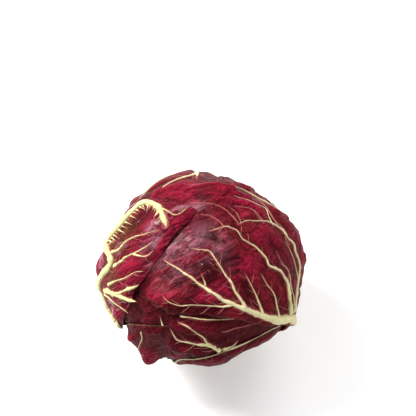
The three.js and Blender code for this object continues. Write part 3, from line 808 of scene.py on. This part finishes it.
def build_leaf(leaf, rows, columns):
    """A leaf as a closed sheet: a grid over its outline, put out at its radius on the head.

    Rows crowd to the tip, the lowest ones bend round the stem, and the outline is a little nibbled.
    The outer face is the inner one plus the blade, which thins to its margin, the middle
    rib, a rounded bar, and the fine relief. The margin is pressed on the leaf below.
    """
    number = leaf["number"]
    base = base_angle(number)
    along = np.linspace(0, 1, rows + 1)[:, None] + np.zeros((1, columns + 1))
    across = np.linspace(-1, 1, columns + 1)[None, :] + np.zeros((rows + 1, 1))
    height = base + (leaf["reach"] - base) * (1 - (1 - along) ** ROW_CROWDING)
    half = half_width(leaf, height, across)
    for trim_at, trim_wide, trim_share in leaf["trims"]:
        half *= 1 - trim_share * (across > 0) * np.exp(-((height - trim_at) / trim_wide) ** 2)
    nibble = 1 + nibbles(height, across, number, *NIBBLE) + nibbles(height, across, 0, *NIBBLE_FINE)
    x = middle_of(leaf, height) + across * half * np.where(along > 0.1, nibble, 1)
    round_base = np.maximum(0, math.sin(math.radians(base)) ** 2 - np.sin(np.radians(x)) ** 2)
    edge = np.degrees(np.arcsin(np.sqrt(round_base) / np.cos(np.radians(x))))
    y = height - (base - edge) * (1 - along) ** FOOT_POWER
    direction = leaf_direction(leaf, x, y).reshape(-1, 3)
    layers = Layers(direction)

    margin = np.minimum((1 - np.abs(across)) * half, leaf["reach"] - height).ravel() * DEGREE_LONG
    x, y = (x - middle_of(leaf, y)).ravel(), y.ravel()
    thick = BLADE * (EDGE_THIN + (1 - EDGE_THIN) * smooth(margin / EDGE_FADE))
    wide, _, rib_reach = leaf["rib"]
    fades = smooth((rib_reach - y) / RIB_FADE + 1)
    taper = 1 - RIB_NARROWS * np.clip(y / rib_reach, 0, 1)
    body = np.clip(1 - (x * DEGREE_LONG / (wide * taper)) ** 2, 0, 1)
    rise = rib_height(leaf, y) * body ** 0.7 * fades
    relief, rib_away = fine_relief(leaf, layers, direction)
    pressed = PRESS * (1 - smooth(margin / PRESS_DEEP)) * smooth((y - PRESS_FROM) / PRESS_BLEND)
    inner = layers.inner_radius(number) - pressed
    outer = inner + thick + rise + relief * (1 - body * fades)
    points = np.vstack([direction * outer[:, None], direction * inner[:, None]]) + [0, 0, MIDDLE_HEIGHT]
    told = {
        "margin": margin,
        "rib_away": rib_away,
        "midrib": np.clip(1.6 * body ** 0.6, 0, 1) * smooth((rib_reach + 8 - y) / 20),
        "height": y,
        "rise": relief,
        "pale": np.full(len(direction), leaf["pale"]),
        # Painted sheen and highlights, from bells off their routes
        "painted_sheen": bells(direction, leaf["painted_sheens"]),
        "olive": bells(direction, leaf["olives"]),
        # Painted shade, from bells off its routes
        "painted_shade": bells(direction, leaf["painted_shades"]),
        # The red's brightness less its darkness; the darkness is partly the leaf's own, partly painted shade
        "bright": np.full(len(direction), leaf["bright"] - leaf["dark"]),
    }
    both_faces = {key: np.tile(values, 2) for key, values in told.items()}
    uv = np.tile(np.stack(fan_place(leaf, x, y), axis=1), (2, 1))
    faces = sheet_faces(rows, columns, len(direction))
    piece = make_mesh(leaf["name"] + "_fine", points, faces, both_faces, uv)
    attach(piece, "root")
    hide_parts(leaf["name"])
    return piece


def rib_points(leaf, wide, high, end, route, seed):
    """A rib's rings: a half round section over the blade, rooted in it, carried along the route.

    The half width falls to its end share, faster at first, times a noise that makes
    it knobbly, and the last stretch closes to a point.
    """
    count = len(route)
    forward = np.gradient(route, axis=0)
    sideways = unit(np.cross(route, forward))
    part = np.linspace(0, 1, count)
    walk = np.arange(count) * RIB_STEP
    knobs = 1 + KNOBS[0] * line_noise(walk, KNOBS[1], seed)
    closing = np.minimum(1, walk[::-1] / 4 + 0.08)
    opening = np.minimum(1, walk / (1.5 * wide) + 0.3)
    flare = 1 + RIB_FLARE * np.exp(-walk / FLARE_LONG) * (FLARE_WIDTHS[0] < wide < FLARE_WIDTHS[1])
    taper = (1 - (1 - end) * part ** 0.7) * knobs * closing * opening
    rough = RAGGED_BROAD if wide > FLARE_WIDTHS[1] else RAGGED_THIN
    left_edge = 1 + rough * line_noise(walk, RAGGED_LONG, seed + 1)
    right_edge = 1 + rough * line_noise(walk, RAGGED_LONG, seed + 3)
    wander = WANDER[0] * line_noise(walk, WANDER[1], seed + 2) * smooth(walk / 5)
    across = np.linspace(-1, 1, RIB_SIDES)
    lift = np.sqrt(np.maximum(0, 1 - across ** 2)) ** 1.1
    across = np.concatenate([across, [0.5, -0.5]])
    lift = np.concatenate([lift, [-1, -1]])
    ragged = np.where(across[None, :] < 0, left_edge[:, None], right_edge[:, None])
    spread = (across[None, :] * ragged * (wide * taper * flare)[:, None] + wander[:, None]) / MEAN_RADIUS
    turned = unit(route[:, None, :] + sideways[:, None, :] * spread[..., None])
    flat = turned.reshape(-1, 3)
    layers = Layers(flat)
    relief, _ = fine_relief(leaf, layers, flat)
    surface = (layers.inner_radius(leaf["number"]) + relief).reshape(count, -1) + BLADE
    sunk = RIB_ROOT * 0.5 * min(1, wide)
    height = np.where(lift[None, :] < 0, -RIB_ROOT, lift[None, :] * (high * taper + sunk)[:, None] - sunk)
    points = turned * (surface + height)[..., None] + np.array([0, 0, MIDDLE_HEIGHT])
    return points, np.broadcast_to(np.abs(across)[None, :], spread.shape)


def build_ribs(leaf):
    """All the ribs and veins of a leaf in one piece of closed tubes."""
    points, faces, sides, parts, offset = [], [], [], [], 0
    for number, (wide, high, end, route) in enumerate(leaf["all_ribs"] + leaf["fine_veins"]):
        rings, side = rib_points(leaf, wide, high, end, route, 10 * leaf["number"] + number)
        count, around = rings.shape[:2]
        faces += ring_faces(count, around, offset)
        points.append(rings.reshape(-1, 3))
        sides.append(side.ravel())
        part = np.linspace(0, 1, count) if wide > VEIN_THIN else np.full(count, 2.0)
        parts.append(np.repeat(part, around))
        offset += count * around
    if not points:
        return None
    attributes = {"side": np.concatenate(sides), "part": np.concatenate(parts),
                  "green": np.full(offset, leaf["green"])}
    piece = make_mesh(leaf["name"] + "_ribs", np.vstack(points), faces, attributes)
    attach(piece, "root")
    return piece


# Finishes, made of shader nodes
class Socket:
    """A shader value: arithmetic on it adds the Math nodes that work it out."""

    def __init__(self, finish, link):
        self.finish, self.link = finish, link

    def math(self, operation, *others, clamp=False):
        """One Math node on this value and others."""
        return self.finish.node("Math", {"operation": operation, "use_clamp": clamp}, self, *others)

    def __add__(self, other):
        return self.math("ADD", other)

    __radd__ = __add__

    def __mul__(self, other):
        return self.math("MULTIPLY", other)

    __rmul__ = __mul__

    def __sub__(self, other):
        return self.math("SUBTRACT", other)

    def __rsub__(self, other):
        return self.math("MULTIPLY", -1.0) + other

    def __abs__(self):
        return self.math("ABSOLUTE")

    def clamp(self):
        """The value kept from 0 to 1."""
        return self.math("ADD", 0.0, clamp=True)

    def most(self, other):
        """The greater of two values."""
        return self.math("MAXIMUM", other)


class Finish:
    """A material, and the few calls that build its nodes."""

    def __init__(self, name):
        self.material = bpy.data.materials.new(name)
        self.material.use_nodes = True
        self.tree = self.material.node_tree
        self.tree.nodes.clear()
        self.shader = self.tree.nodes.new("ShaderNodeBsdfPrincipled")
        output = self.tree.nodes.new("ShaderNodeOutputMaterial")
        self.tree.links.new(self.shader.outputs[0], output.inputs[0])

    def feed(self, socket, value):
        """Links a shader value to a socket, or sets the socket to a constant."""
        if isinstance(value, Socket):
            self.tree.links.new(value.link, socket)
        else:
            socket.default_value = value

    def node(self, kind, settings, *values, out=0, **named):
        """A node of a kind, its settings first, then its sockets by place or by name."""
        made = self.tree.nodes.new("ShaderNode" + kind)
        for key, value in settings.items():
            setattr(made, key, value)
        for place, value in [*enumerate(values), *named.items()]:
            self.feed(made.inputs[place], value)
        return Socket(self, made.outputs[out])

    def attribute(self, name):
        """The value of a point attribute of the mesh."""
        return self.node("Attribute", {"attribute_name": name}, out="Fac")

    def place(self):
        """Object coordinates, in metres."""
        return self.node("TexCoord", {}, out="Object")

    def blotches(self, vector, scale, detail=3.0, rough=0.55, warp=0.0):
        """Soft noise from 0 to 1."""
        return self.node("TexNoise", {}, out=0, Vector=vector, Scale=scale, Detail=detail,
                         Roughness=rough, Distortion=warp)

    def band(self, value, low, high):
        """A soft step of a value from low to high, 0 to 1."""
        return self.node("MapRange", {"interpolation_type": "SMOOTHSTEP"}, value, low, high, 0.0, 1.0)

    def mix(self, part, one, other):
        """Two colours mixed by a part from 0 to 1."""
        made = self.tree.nodes.new("ShaderNodeMix")
        made.data_type = "RGBA"
        for place, value in ((0, part), (6, one), (7, other)):
            self.feed(made.inputs[place], value)
        return Socket(self, made.outputs[2])

    def layered(self, colour, layers):
        """A colour with others laid over it in turn, each by its mask times its strength."""
        for mask, strength, over in layers:
            colour = self.mix(mask * strength, colour, over)
        return colour

    def stretch(self, vector, scale):
        """Coordinates scaled on each axis."""
        return self.node("Mapping", {}, Vector=vector, Scale=scale)

    def creased(self, vector):
        """Coordinates drawn out along the creases."""
        turn = Matrix(crease_frame().tolist()).to_euler()
        return self.node("Mapping", {"vector_type": "TEXTURE"}, Vector=vector, Rotation=turn,
                         Scale=(CREASE_LONG, 1, 1))

    def bump(self, height, strength, distance):
        """A bump normal from a height."""
        return self.node("Bump", {}, Strength=strength, Distance=distance, Height=height)

    def set(self, **values):
        """Sets sockets of the shader, with underscores for spaces in their names."""
        for key, value in values.items():
            self.feed(self.shader.inputs[key.replace("_", " ")], value)
        return self.material


# Colours of the head, linear
WINE = (0.190, 0.0060, 0.0150, 1)
CRIMSON = (0.330, 0.0060, 0.0400, 1)
# Deep maroon: the blade's darkest red, also used for its painted shade
MAROON = (0.038, 0.0010, 0.0030, 1)
# Pinkish grey of the painted sheen and highlights, not a colour of the leaf
PAINTED_SHEEN_COLOUR = (0.340, 0.150, 0.200, 1)
CREAM = (0.580, 0.510, 0.295, 1)
PALE = (0.740, 0.690, 0.450, 1)
GREEN = (0.450, 0.480, 0.170, 1)
OLIVE = (0.120, 0.045, 0.018, 1)
PINK = (0.380, 0.070, 0.080, 1)
BROWN = (0.330, 0.190, 0.080, 1)


def leaf_finish():
    """Wine-red blade with dark speckles and pale streaks along the fan, painted shade in its hollows,
    creases and under margins, painted light on its rises, and a painted sheen and glints.
    """
    f = Finish("leaf_red")
    place = f.place()
    creased = f.creased(place)
    fan = f.node("UVMap", {"uv_map": "blade"})
    streak = f.blotches(f.stretch(fan, (1.3, 0.05, 1.0)), 1.0, detail=6, rough=0.6, warp=0.5)
    broad = f.blotches(place, 34, detail=4, rough=0.6)
    speckle = f.blotches(place, 700, detail=4, rough=0.7)
    small = f.blotches(place, 230, detail=5, rough=0.65, warp=0.6)
    fold = f.blotches(creased, 120, detail=4, rough=0.55, warp=0.5)
    crack = f.blotches(creased, 330, detail=3, rough=0.55, warp=0.4)
    wrinkle, fine = abs(fold - 0.5), abs(crack - 0.5)
    ragged = small - 0.5
    bright = f.attribute("bright")
    rise = f.attribute("rise") + ragged * 1.2
    # A painted sheen, broken up by the folds
    painted_sheen = f.attribute("painted_sheen") * f.band(fold + ragged * 0.4, 0.34, 0.56)
    # Painted glints: highlights on the fold ridges of the bright leaves
    glint = f.band(bright, 0.3, 1.0) * f.band(fold + (crack - 0.5) * 0.5, 0.55, 0.70)
    # Painted shade under margins and in dark folds, broken up by the folds
    painted_shade = (f.attribute("painted_shade") * 1.3).clamp() * f.band(fold + ragged * 0.4, 0.74, 0.48)
    colour = f.layered(WINE, [
        (f.band(broad + bright * 0.20, 0.42, 0.70), 0.75, CRIMSON),
        # Darker red on dark leaves, partly their own and partly painted shade
        (f.band(bright, 0.0, -1.0), 0.70, MAROON),
        # Painted shade in the relief's hollows, and painted light, a brighter red, on its rises
        (f.band(rise, 0.9, -0.45), 0.80, MAROON),
        (f.band(rise, 1.0, 2.6), 0.50, CRIMSON),
        # Painted shade in the folds' low places
        (f.band(fold, 0.50, 0.34), 0.50, MAROON),
        (f.band(speckle, 0.50, 0.32), 0.38, MAROON),
        (f.band(speckle, 0.56, 0.72), 0.24, PINK),
        (f.band(streak, 0.57, 0.70), 0.30, PINK),
        (f.attribute("olive") * f.band(small, 0.25, 0.60), 0.85, OLIVE),
        # Painted sheen
        (painted_sheen, 0.48, PAINTED_SHEEN_COLOUR),
        # Painted glints
        (glint, 0.38, PAINTED_SHEEN_COLOUR),
        # Painted shade
        (painted_shade, 0.92, MAROON),
        # Painted shade along the creases
        (f.band(wrinkle, 0.042, 0.0), 0.75, MAROON),
        (f.band(fine, 0.035, 0.0), 0.45, MAROON),
        (f.band(f.attribute("rib_away") + ragged * 1.6, 0.8, 0.0), 0.45, PINK),
        (f.band(f.attribute("margin") + ragged * 0.9, 1.6, 0.4), f.attribute("pale"), CREAM),
    ])
    base = f.band(f.attribute("height") + (streak - 0.5) * 30.0, 44.0, 22.0)
    rib = f.band(f.attribute("midrib") + ragged * 0.5, 0.35, 0.7)
    colour = f.mix(base.most(rib), colour, f.mix(broad, CREAM, PALE))
    relief = small * 0.25 + wrinkle * 2.1 + fine * 0.8 + streak * 0.12 + fold * 0.8 + speckle * 0.10
    waxy = (painted_sheen * 0.35 + glint * 0.4).clamp()
    return f.set(Base_Color=colour, Roughness=0.34 + small * 0.22, Normal=f.bump(relief, 0.95, 0.0031),
                 Specular_IOR_Level=0.04, Coat_Weight=waxy, Coat_Roughness=0.3)


def rib_finish():
    """Cream rib: greener and paler in patches, flushed pink at its sides and toward its end."""
    f = Finish("rib_cream")
    place = f.place()
    grain = f.blotches(f.stretch(place, (1.0, 1.0, 0.6)), 500, detail=5, rough=0.6)
    broad = f.blotches(place, 40, detail=2)
    ragged = grain - 0.5
    side, part = f.attribute("side"), f.attribute("part")
    greener = (f.band(broad, 0.40, 0.62) * 0.5).most(f.attribute("green"))
    flush = f.band(side + ragged * 1.1, 0.62, 1.1) * 0.55 + f.band(part + ragged * 0.6, 0.75, 1.25) * 0.45
    colour = f.layered(CREAM, [
        (greener, 1.0, GREEN),
        (f.band(grain, 0.45, 0.75), 0.7, PALE),
        (f.band(side + ragged * 1.4, 0.35, 0.75), 0.30, GREEN),
        (flush.clamp(), 1.0, PINK),
        (f.band(part, 1.2, 1.9), 0.55, WINE),
    ])
    return f.set(Base_Color=colour, Roughness=0.48 + grain * 0.15, Normal=f.bump(grain, 0.5, 0.0005),
                 Specular_IOR_Level=0.3)


def stem_finish():
    """Cream stump: pale flesh in patches and a browned cut."""
    f = Finish("stem_cream")
    place = f.place()
    grain = f.blotches(place, 300, detail=5, rough=0.6)
    broad = f.blotches(place, 90, detail=3)
    colour = f.mix(f.band(broad, 0.35, 0.65), CREAM, PALE)
    browned = f.band(f.attribute("cut") + (grain - 0.5) * 0.7, 0.25, 0.95)
    colour = f.mix(browned * 0.6, colour, BROWN)
    return f.set(Base_Color=colour, Roughness=0.62 + grain * 0.15, Normal=f.bump(grain, 0.5, 0.0005))


def heart_finish():
    """Pale red and cream tight leaves, streaked up the heart."""
    f = Finish("heart_red")
    place = f.place()
    streak = f.blotches(f.stretch(place, (1.0, 1.0, 0.25)), 90, detail=5, rough=0.6)
    colour = f.mix(f.band(streak, 0.38, 0.62), CRIMSON, PALE)
    return f.set(Base_Color=colour, Roughness=0.5 + streak * 0.1, Normal=f.bump(streak, 0.4, 0.0005))


def build_stem():
    """The stump as a surface of revolution: a profile turned round the axis, its rim a little uneven.

    The profile runs over the top, down the side, which sine waves groove, round the
    bevel, a quarter circle, and in along the cut face, which has faint rings.
    """
    around = 128
    turn = np.linspace(0, 2 * math.pi, around, endpoint=False)
    top = np.linspace(STEM_INNERMOST, 1, 12)
    rise = np.linspace(STEM_TOP - 0.8, 1.2, 24)
    bend = np.linspace(math.pi / 2, 0.3, 6)
    cut = np.linspace(1, STEM_INNERMOST, 40)
    radius = np.concatenate([
        (STEM_RADIUS - STEM_SLOPE) * top,
        STEM_RADIUS - STEM_GROOVE[0] * (1 - np.cos(rise * STEM_GROOVE[1])),
        STEM_RADIUS - STEM_BEVEL * np.cos(bend),
        (STEM_RADIUS - STEM_BEVEL) * cut,
    ])
    level = np.concatenate([
        STEM_TOP + 0 * top,
        rise,
        STEM_BEVEL * np.sin(bend),
        STEM_RINGS[0] * np.abs(np.sin(cut * STEM_RINGS[1])) * (cut < 0.95),
    ])
    uneven = 1 - 0.012 * (1 + np.sin(3 * turn + 0.7)) - 0.006 * (1 + np.sin(7 * turn))
    x = radius[:, None] * np.cos(turn) * uneven
    y = radius[:, None] * np.sin(turn) * uneven
    points = np.stack([x, y, level[:, None] + 0 * turn], axis=2).reshape(-1, 3)
    away = np.hypot(points[:, 0], points[:, 1]) / STEM_RADIUS
    browned = np.where(points[:, 2] < 0.9, 0.35 + 0.65 * away ** 3, 0.15)
    piece = make_mesh("stem_fine", points, ring_faces(len(radius), around), {"cut": browned})
    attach(piece, "root")
    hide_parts("stem")
    return piece


def build_head():
    """Every fine piece of the head with its finish."""
    blade, rib = leaf_finish(), rib_finish()
    for leaf in LEAVES:
        leaf["all_ribs"] = all_ribs(leaf)
        leaf["fine_veins"] = fine_veins(leaf, leaf["all_ribs"])
    for leaf in LEAVES:
        rows, columns = GRIDS.get(leaf["name"], PLAIN_GRID)
        build_leaf(leaf, rows, columns).data.materials.append(blade)
        ribs = build_ribs(leaf)
        if ribs:
            ribs.data.materials.append(rib)
    build_stem().data.materials.append(stem_finish())
    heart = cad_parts["heart"]
    heart.data.materials.clear()
    heart.data.materials.append(heart_finish())


def build_stage():
    """A pale floor that glows faintly, a white surround that brightens upwards, and three soft lamps."""
    corners = np.array([(-1, -1, 0), (1, -1, 0), (1, 1, 0), (-1, 1, 0)]) * FLOOR_HALF
    floor = make_mesh("floor", corners, [(0, 1, 2, 3)], {})
    white = Finish("floor_white").set(Base_Color=FLOOR_WHITE, Roughness=0.9,
                                      Emission_Color=(1, 1, 1, 1), Emission_Strength=FLOOR_GLOW)
    floor.data.materials.append(white)
    world = bpy.data.worlds.new("surround")
    world.use_nodes = True
    background = world.node_tree.nodes["Background"]
    tree = world.node_tree
    sky = tree.nodes.new("ShaderNodeTexCoord")
    split = tree.nodes.new("ShaderNodeSeparateXYZ")
    rise = tree.nodes.new("ShaderNodeMapRange")
    tree.links.new(sky.outputs["Generated"], split.inputs[0])
    tree.links.new(split.outputs["Z"], rise.inputs["Value"])
    limits = {"From Min": SURROUND_SPAN[0], "From Max": SURROUND_SPAN[1],
              "To Min": SURROUND[0], "To Max": SURROUND[1]}
    for name, value in limits.items():
        rise.inputs[name].default_value = value
    tree.links.new(rise.outputs[0], background.inputs[1])
    background.inputs[0].default_value = (1, 1, 1, 1)
    bpy.context.scene.world = world
    for name, place, size, power in LAMPS:
        light = bpy.data.lights.new(name, "AREA")
        light.size, light.energy = size, power
        lamp = bpy.data.objects.new(name, light)
        lamp.location = place
        aim = np.array([0, 0, MIDDLE_HEIGHT * MM]) - np.array(place)
        lamp.rotation_euler = (math.acos(-aim[2] / np.linalg.norm(aim)), 0,
                               math.atan2(aim[1], aim[0]) - math.pi / 2)
        bpy.context.scene.collection.objects.link(lamp)


def build_camera():
    """The photograph's camera, moved aside so that the head lies off the picture's centre."""
    camera = bpy.data.cameras.new("camera")
    camera.sensor_width = SENSOR_WIDTH
    camera.lens = SENSOR_WIDTH * PHOTO_DISTANCE / (PHOTO_SIZE * PHOTO_SCALE)
    view = bpy.data.objects.new("camera", camera)
    _, eye = photo_eye()
    view.location = (eye + [0, 0, MIDDLE_HEIGHT]) * MM
    view.rotation_euler = (math.pi / 2 - math.radians(PHOTO_ELEVATION), 0, 0)
    bpy.context.scene.collection.objects.link(view)
    bpy.context.scene.camera = view


build_camera()
build_head()
build_stage()
bpy.context.scene.view_settings.view_transform = "Standard"
